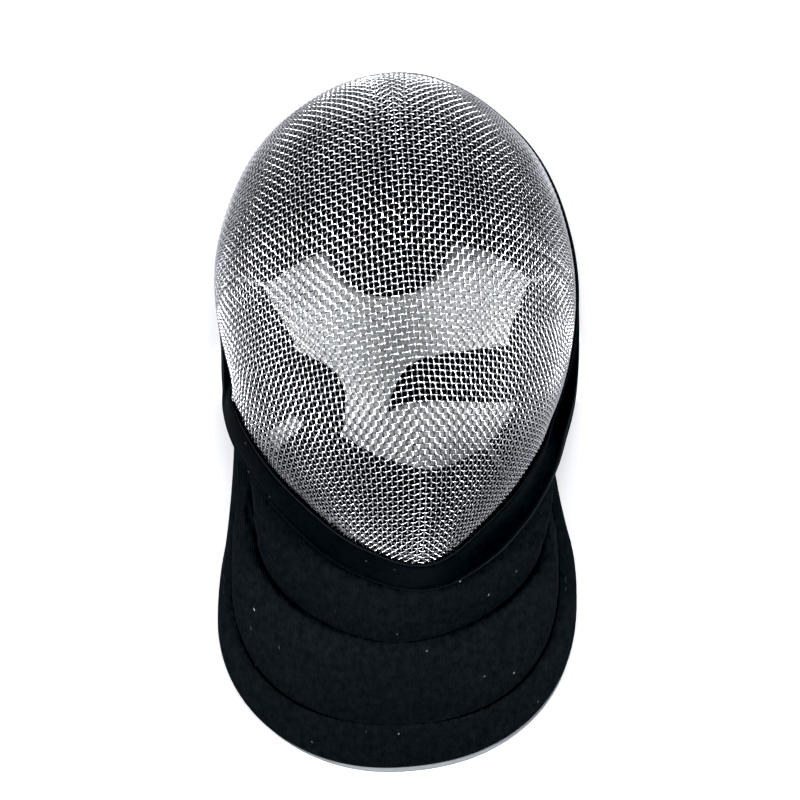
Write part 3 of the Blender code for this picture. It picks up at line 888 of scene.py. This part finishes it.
BIB_BLACK = (0.0125, 0.0143, 0.0160)
BIB_WALL = 3.0
BIB_SEAT = -1.0  # how far out of the band's path its outer face lies where it is sewn in
BIB_TUCKED = 0.8  # its sewn edge, as a share of the band's width
BIB_STEPS = 242
BIB_EDGE = 0.004  # the share of its length in which each of its ends is round
BIB_ROWS = 100
BIB_TUCKS = 7  # rows of its face behind the band
BIB_FOOT = 0.6  # the least height of its inner face
BIB_END = 135.0  # degrees round from the bottom of the bib to its two upper corners
BIB_HEADING_SPAN = 68.0  # degrees of the dome from the chin to each of those corners
BIB_CLOSING = 112.0  # where its lines start to close up towards the corners
BIB_CALM = 30.0  # degrees before the corners in which its rolls go flat
BIB_TURN = 100.0  # the furthest turn that a roll stands out to
BIB_CORNERS = {-1: (-98.5, -2.0, 3.0), 1: (88.5, -4.0, 3.0)}
# The lines that part the rolls, seen from above, as round curves about (centre_x, side_y).
BIB_LINES = table(
    "centre_x side_y left right low rise_left rise_right square_left square_right "
    "tilt low_z side_z",
    (-2.3, -80.6, 76.0, 80.6, 52.4, 60.0, 60.0, 1.8, 1.8, 0.0, 55.0, 32.0),
    (-2.9, -102.0, 92.0, 92.0, 81.8, 150.0, 110.0, 2.35, 2.35, 0.0, 24.0, 14.0),
    (-1.2, -124.0, 105.8, 105.0, 92.3, 150.0, 106.0, 2.0, 2.3, 0.06, 4.0, 4.0),
)
# The outer face from the sewn edge to the hem. place counts the lines (0 the band's fold), and
# the face stands out and up from there. Under each lip it turns back into the crease.
BIB_FACE = table(
    "place out up",
    (0.00, 0.0, 0.0),
    (0.12, 1.2, 1.0),
    (0.25, 2.3, 2.7),
    (0.42, 3.6, 4.2),
    (0.60, 4.2, 5.0),
    (0.78, 3.9, 4.8),
    (0.90, 3.5, 4.0),
    (0.98, 3.4, 2.8),
    (1.01, 2.8, 1.0),
    (1.01, 1.2, -1.4),
    (1.00, -0.4, -2.4),
    (1.02, 0.4, -2.6),
    (1.09, 0.6, -1.8),
    (1.14, 1.0, 0.6),
    (1.22, 2.0, 3.0),
    (1.38, 3.6, 4.7),
    (1.55, 4.5, 5.3),
    (1.72, 4.6, 5.3),
    (1.86, 4.1, 4.6),
    (1.96, 3.6, 3.0),
    (2.02, 2.9, 1.0),
    (2.03, 1.4, -1.0),
    (2.01, 0.0, -2.0),
    (2.03, 0.6, -2.2),
    (2.11, 0.6, -1.4),
    (2.17, 0.8, 0.5),
    (2.26, 1.0, 1.2),
    (2.42, 1.1, 1.4),
    (2.65, 1.1, 1.3),
    (2.88, 0.9, 0.8),
    (2.97, 0.5, 0.2),
    (3.00, 0.0, -0.8),
)
# The inner face behind it, by how much it puffs, and the shares of that which go out and up.
BIB_BACK = table(
    "place puff", (0, 0), (0.5, 4), (1, 0.3), (1.5, 5), (2, 0.3), (2.5, 1), (3, 0)
)
BIB_BACK_OUT = 0.65
BIB_BACK_UP = 0.76
# Its cloth is gathered where it is sewn in at the corners: small folds, each with its height, its
# width and the x and y of its line.
BIB_FOLDS = (
    (1.7, 1.1, "-88.3 -53.7 -86.5 -62.3 -82.5 -70.4 -78.5 -79 -73.3 -83.7 -63.5 -87.1 -54.2 -90"),
    (1.3, 0.9, "-90 -56 -90 -65.8 -88.3 -73.3 -82.5 -80.8 -76.2 -88.3"),
    (-1.6, 1.0, "-88.3 -61.2 -86.5 -69.2 -82.5 -76.2 -77.3 -83.7"),
    (-1.6, 1.0, "-85.4 -53.1 -83.1 -62.3 -77.3 -71.5 -69.2 -79.6 -57.7 -85.4"),
    (1.6, 1.0, "86 -57.7 85.4 -62.3 82.5 -70.4 80.2 -74.4 76.7 -77.9"),
    (1.0, 1.2, "85.4 -68.1 86.5 -74.4 88.9 -82.5 90 -92.3 90 -103.9"),
    (-1.8, 1.0, "61.2 -83.7 71 -81.4 76.7 -79.6 81.4 -75.6 84.2 -70.4"),
)


def bib_line(number, angle):
    """Points of one of the bib's lines, angle degrees round from its bottom."""
    line = {name: values[number] for name, values in BIB_LINES.items()}
    turn = np.radians(angle)
    left = angle < 0
    side = np.where(left, line["left"], line["right"])
    rise = np.where(left, line["rise_left"], line["rise_right"])
    level = np.where(np.abs(angle) <= 90, line["low"], rise)
    square = np.where(left, line["square_left"], line["square_right"])
    across = np.abs(np.sin(turn) / side) ** square
    down = np.abs(np.cos(turn) / level) ** square
    reach = (across + down) ** (-1 / square)
    x = reach * np.sin(turn)
    y = line["side_y"] - reach * np.cos(turn) + line["tilt"] * x
    low_share = np.maximum(np.cos(turn), 0) ** 2
    z = line["side_z"] + (line["low_z"] - line["side_z"]) * low_share
    return np.stack((line["centre_x"] + x, y, z), axis=-1)


def bib_node(number, angle):
    """Line 0 is the band's fold, 1 to 3 the bib's own; all of them close up at the corners."""
    if number == 0:
        heading = 270 + angle * BIB_HEADING_SPAN / BIB_END
        return trim_spot(heading, 1.0, BIB_SEAT)
    free = bib_line(number - 1, angle)
    corner = np.where((angle < 0)[..., None], BIB_CORNERS[-1], BIB_CORNERS[1])
    top = trim_spot(270 + np.copysign(BIB_HEADING_SPAN, angle), 1.0, BIB_SEAT)
    end = top + (corner - top) * number / 3
    t = np.clip((np.abs(angle) - BIB_CLOSING) / (BIB_END - BIB_CLOSING), 0, 1)
    return free + (end - free) * (t * t * (3 - 2 * t))[..., None]


def bib_spots(place, out, up, angles):
    """A grid of points: for each angle, the face's places and how far it stands out and up."""
    nodes = np.stack([bib_node(number, angles) for number in range(4)])
    number = np.clip(np.floor(place).astype(int), 0, 2)
    part = (place - number)[None, :, None]
    before, after = nodes[number].transpose(1, 0, 2), nodes[number + 1].transpose(1, 0, 2)
    point = before * (1 - part) + after * part
    turn = np.radians(np.clip(angles, -BIB_TURN, BIB_TURN))[:, None]
    calm = np.clip((BIB_END - np.abs(angles)) / BIB_CALM, 0, 1)[:, None]
    lift = points_at(np.sin(turn) * out, -np.cos(turn) * out, up)
    return point + lift * calm[..., None]


def creased(points):
    """The bib's face with the small folds of its corners pressed into it or raised from it."""
    raised = points.copy()
    for height, width, line in BIB_FOLDS:
        line = np.array(line.split(), dtype=float).reshape(-1, 2)
        nearest = np.full(points.shape[:-1], np.inf)
        for start, end in zip(line[:-1], line[1:]):
            way = end - start
            t = np.clip((points[..., :2] - start) @ way / (way @ way), 0, 1)
            gap = np.linalg.norm(points[..., :2] - start - t[..., None] * way, axis=-1)
            nearest = np.minimum(nearest, gap)
        raised[..., 2] += height * np.exp(-((nearest / width) ** 2))
    return raised


def grid_normals(grid):
    """Unit normals of a grid of points, rows crossed with columns."""
    return unit(np.cross(np.gradient(grid, axis=0), np.gradient(grid, axis=1)))


def make_bib():
    """The outer face with its rolls, the smooth inner face, and the hem that joins them."""
    angles = BIB_END * (2 * edged(BIB_STEPS, BIB_EDGE) - 1)
    knots = np.arange(len(BIB_FACE["place"]))
    rows = np.linspace(0, knots[-1], BIB_ROWS)
    place, out, up = (along(knots, BIB_FACE[column], rows) for column in BIB_FACE)
    face = bib_spots(place, out[None], up[None], angles)
    heading = 270 + angles * BIB_HEADING_SPAN / BIB_END
    tucks = np.linspace(BIB_TUCKED, 1.0, BIB_TUCKS, endpoint=False)
    sewn = trim_spot(heading[:, None], tucks[None, :], BIB_SEAT)
    outer = np.concatenate((sewn, creased(face)), axis=1)

    place = np.linspace(0, 3, BIB_ROWS)
    puff = np.interp(place, BIB_BACK["place"], BIB_BACK["puff"])[None]
    back = bib_spots(place, BIB_BACK_OUT * puff, BIB_BACK_UP * puff, angles)
    behind = np.concatenate((sewn, back), axis=1)
    inner = behind + grid_normals(behind) * BIB_WALL
    inner[..., 2] = np.maximum(inner[..., 2], BIB_FOOT)
    inner[:, 0], inner[:, -1] = outer[:, 0], outer[:, -1]
    inner[0], inner[-1] = outer[0], outer[-1]
    uv = np.stack((outer[..., 0], run_lengths(outer, 1)), axis=-1)
    cloth = knit("bib_cloth", BIB_BLACK, rib=0.00105, rib_depth=0.00026, lint=60)
    obj = slab("throat_bib", outer, inner, cloth, uv)
    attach(obj, "root")
    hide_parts("bib")


make_bib()

# ================================================================== the painted hem shadow
# Under the hem lies a flat grey sheet that stands in for the hem's shadow on the floor: a painted
# shadow. It stands out a few millimetres at the bottom.

SHADOW_SHEET_WALL = 1.2
SHADOW_SHEET_WIDTH = 20.0
SHADOW_SHEET_STEPS = (252, 7)
SHADOW_SHEET_EDGES = (0.003, 0.05)
# How far the painted shadow stands out from the hem: its SWELL times the cosine of the turn from
# its TURN, less its BACK. It lies behind the hem by its TUCK at most.
SHADOW_SHEET_SWELL = 5.5
SHADOW_SHEET_TURN = 10.0
SHADOW_SHEET_BACK = 2.3
SHADOW_SHEET_TUCK = 1.5
# The grey of the painted shadow that the hem casts on the floor.
HEM_SHADOW_GREY = (0.135, 0.145, 0.152)
HEM_SHADOW_SHADES = (0.8, 1.2)


def hem_shadow_cloth():
    """Plain woven grey cloth for the painted hem shadow, with its threads as fine bumps."""
    material, shader, tree = new_finish("hem_shadow_cloth", Roughness=0.85, Specular_IOR_Level=0.2)
    cloth = add_node(tree, "ShaderNodeUVMap", {"uv_map": "cloth"}).outputs["UV"]
    cloud = add_node(tree, "ShaderNodeTexNoise", Vector=cloth, Scale=90.0, Detail=3.0)
    greys = shades(HEM_SHADOW_GREY, HEM_SHADOW_SHADES)
    grey = shaded(tree, cloud.outputs["Fac"], (0.0, 1.0), greys)
    feed(tree, shader.inputs["Base Color"], grey)
    threads = add_node(tree, "ShaderNodeTexChecker", Vector=cloth, Scale=2200.0)
    emboss(tree, shader, threads.outputs["Fac"], strength=0.5, depth=0.0001)
    return material


def laid_out(steps, edges):
    """A piece's shares each way, and how thick it is there, as it is round at its four edges."""
    across, down = (edged(count, edge) for count, edge in zip(steps, edges))
    thick = roundness(across, edges[0])[:, None] * roundness(down, edges[1])[None]
    return across, down, thick


def make_hem_shadow():
    """A crescent of grey sheet along the hem, where the hem's shadow falls: a painted shadow."""
    across, down, thick = laid_out(SHADOW_SHEET_STEPS, SHADOW_SHEET_EDGES)
    angles = BIB_END * (2 * across - 1)
    hem = bib_node(3, angles)
    turn = np.radians(np.clip(angles, -BIB_TURN, BIB_TURN))[:, None]
    stand_out = SHADOW_SHEET_SWELL * np.cos(turn - math.radians(SHADOW_SHEET_TURN)) - SHADOW_SHEET_BACK
    reach = np.maximum(stand_out, -SHADOW_SHEET_TUCK) - SHADOW_SHEET_WIDTH * (1 - down[None])
    x = hem[:, None, 0] + np.sin(turn) * reach
    y = hem[:, None, 1] - np.cos(turn) * reach
    middle = SHADOW_SHEET_WALL / 2
    top = points_at(x, y, middle + SHADOW_SHEET_WALL / 2 * thick)
    bottom = points_at(x, y, middle - SHADOW_SHEET_WALL / 2 * thick)
    uv = cloth_lengths(top)
    obj = slab("hem_shadow_sheet", top, bottom, hem_shadow_cloth(), uv)
    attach(obj, "root")
    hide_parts("bib_lining")


make_hem_shadow()

# ================================================================== the pads inside
# Four foam pads in black cloth line the mesh: at the forehead, at both sides and at the chin. They
# stop short of the face, and the floor shows between them.

PAD_GAP = 1.2  # between the mesh and the pad
PAD_WALL = 8.0
PAD_STEPS = (56, 30)
PAD_EDGES = (0.03, 0.06)
PAD_BELLY = 0.25  # how much thinner its back is at the edges
MESH_DEPTH = 2.0  # from the outside of the crossed wires to their inside
PAD_BLACK = (0.0030, 0.0034, 0.0042)
# Where each pad starts and ends, as headings, and how far from the crest its inner edge lies there
# and at the quarters between.
PADS = {
    "forehead_pad": (21.0, 163.0, (76.0, 53.0, 46.0, 53.0, 82.5)),
    "left_side_pad": (164.5, 216.0, (86.0, 71.5, 65.0, 75.0, 86.0)),
    "chin_pad": (222.0, 305.0, (69.0, 71.0, 74.0, 79.5, 80.0)),
    "right_side_pad": (307.0, 379.5, (80.0, 77.5, 62.0, 61.0, 75.0)),
}


def make_pad(name, start, end, reaches, finish):
    """A pad against the inside of the mesh, fuller in the middle and thin at its edges."""
    quarters = np.linspace(start, end, len(reaches))
    across, down, thick = laid_out(PAD_STEPS, PAD_EDGES)
    heading = (start + (end - start) * across)[:, None] * np.ones_like(down)[None]
    inner = np.arcsin(along(quarters, reaches, heading) / at("half_width", heading))
    polar = inner + (rim_polar(heading) - inner) * down[None]
    bulge = np.sin(math.pi * down)[None] * np.sin(math.pi * across)[:, None]
    belly = 1 - PAD_BELLY * (1 - bulge)
    middle = -MESH_DEPTH - PAD_GAP - PAD_WALL / 2
    near = dome_spot(heading, polar, middle + PAD_WALL / 2 * thick)
    far = dome_spot(heading, polar, middle - PAD_WALL / 2 * thick * belly)
    uv = cloth_lengths(near)
    obj = slab(name + "_foam", near[::-1], far[::-1], finish, uv[::-1])
    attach(obj, "root")
    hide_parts(name)


brushed_cloth = knit("pad_cloth", PAD_BLACK, rib=0.0014, rib_depth=0.00005, lint=40)
for name, (start, end, reaches) in PADS.items():
    make_pad(name, start, end, reaches, brushed_cloth)

# ================================================================== the back tongue
# A sprung plate in a padded sleeve of black cloth reaches down from the crown and goes behind the
# head. Its root is sewn to the inside of the band, and its round end is free.

TONGUE_HALF_WIDTH = 37.0
TONGUE_TIP_Y = 59.7
TONGUE_TIP_X = -7.3
TONGUE_WALL = 5.0
TONGUE_SEAT = 0.75  # where its root meets the band, as a share of the band's width
TONGUE_CLEAR = 1.2  # between its root and the band
TONGUE_LEAN = 0.03  # to the right for each millimetre to the crown
TONGUE_STEPS = (36, 80)
TONGUE_EDGES = (0.04, 0.03)
TONGUE_END = 0.4  # the share of its rows that go round its end
TONGUE_END_TURN = 78.0  # how far round the end they start
# Its height over the floor, from its end to its root.
TONGUE_BOW = table(
    "y z", (50, 6.5), (70, 3.0), (92, 0.8), (115, 0.4), (138, 5.0), (156, 15.0), (166, 27.0)
)


def inside_trim(middle, aside, share):
    """The band's inner face at one of its middles (the crown or a side): how far it is from the
    crest that way, at points that lie aside to the right of it."""
    reach = 100.0  # a first guess
    for _ in range(8):
        heading = middle - np.degrees(np.arcsin(aside / reach))
        reach = trim_section(heading, np.full_like(aside, share))[..., 0]
    return reach * np.cos(np.radians(heading - middle))


def faces_on(base, wall, thick):
    """The upper and lower face of a wall that stands on a grid, with how thick it is where."""
    up = grid_normals(base)
    middle = base + up * wall / 2
    half = up * (wall / 2 * thick)[..., None]
    return middle + half, middle - half


def make_tongue():
    """A bowed plate with a round end, its root against the inside of the band."""
    round_y = TONGUE_TIP_Y + TONGUE_HALF_WIDTH
    across, down, thick = laid_out(TONGUE_STEPS, TONGUE_EDGES)
    u, v = np.meshgrid(across, down, indexing="ij")
    turn = math.radians(TONGUE_END_TURN) * (1 - np.minimum(v / TONGUE_END, 1))
    x = TONGUE_TIP_X + TONGUE_HALF_WIDTH * np.cos(turn) * (2 * u - 1)
    root_y = CREST[1] + inside_trim(90.0, x - CREST[0], TONGUE_SEAT) - TONGUE_CLEAR
    y = round_y - TONGUE_HALF_WIDTH * np.sin(turn)
    y = y + (root_y - round_y) * np.maximum(v - TONGUE_END, 0) / (1 - TONGUE_END)
    x = x + TONGUE_LEAN * (y - TONGUE_TIP_Y)
    z = along(TONGUE_BOW["y"], TONGUE_BOW["z"], y)
    back = points_at(x, y, z)
    top, bottom = faces_on(back, TONGUE_WALL, thick)
    uv = np.stack((x, run_lengths(top, 1)), axis=-1)
    cloth = knit("tongue_cloth", PAD_BLACK, rib=0.0011, rib_depth=0.00008, lint=60)
    obj = slab("tongue_sleeve", top, bottom, cloth, uv)
    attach(obj, "root")
    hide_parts("back_tongue")


make_tongue()

# ================================================================== the back strap
# The two halves of the elastic back strap are unfastened and lie on the floor inside the mask,
# each sewn behind the band.

STRAP_WALL = 2.5
STRAP_SEAT = 0.8  # where its root meets the band, as a share of the band's width
STRAP_STEPS = (60, 20)
STRAP_EDGES = (0.01, 0.05)
STRAP_BLACK = (0.0032, 0.0036, 0.0044)
# Each half, from its root to its tip: how far across the mask it is, its two edges and its height.
STRAPS = {
    "strap_right": table(
        "reach low high z",
        (96.0, 0.0, 34.0, 9.0),
        (67.6, -1.2, 32.3, 5.0),
        (42.0, -1.2, 29.5, 3.0),
        (20.0, -1.2, 26.0, 2.0),
        (6.0, -2.0, 21.0, 1.6),
        (-2.0, -4.0, 10.0, 1.4),
        (-6.5, -7.0, -2.0, 1.2),
    ),
    "strap_left": table(
        "reach low high z",
        (-98.0, -4.0, 37.0, 9.0),
        (-80.0, -6.0, 33.0, 5.0),
        (-60.0, -10.0, 28.5, 3.0),
        (-46.0, -19.0, 22.0, 2.0),
        (-37.0, -23.5, 15.0, 1.5),
        (-32.5, -14.0, 6.0, 1.2),
    ),
}


def make_strap(name, rows, finish):
    """A flat strap that droops from the inside of the band to the floor."""
    reaches = rows["reach"]
    side = math.copysign(1, reaches[0])
    across, down, thick = laid_out(STRAP_STEPS, STRAP_EDGES)
    x = (reaches[0] + (reaches[-1] - reaches[0]) * np.sin(across * math.pi / 2))[:, None]
    low, high, z = (along(reaches, rows[key], x) for key in ("low", "high", "z"))
    y = low + (high - low) * down[None]
    sewn = np.maximum(1 - (x - reaches[0]) / (reaches[1] - reaches[0]), 0)
    root_x = CREST[0] + side * inside_trim(90.0 - 90.0 * side, side * (CREST[1] - y), STRAP_SEAT)
    x = x + sewn * (root_x - reaches[0])
    base = points_at(x, y, z)
    if side > 0:
        base = base[::-1]
    top, bottom = faces_on(base, STRAP_WALL, thick)
    uv = cloth_lengths(top)
    obj = slab(name + "_webbing", top, bottom, finish, uv)
    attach(obj, "root")
    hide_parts(name)


webbing = knit("strap_webbing", STRAP_BLACK, rib=0.0016, rib_depth=0.0002, lint=50)
for name, rows in STRAPS.items():
    make_strap(name, rows, webbing)
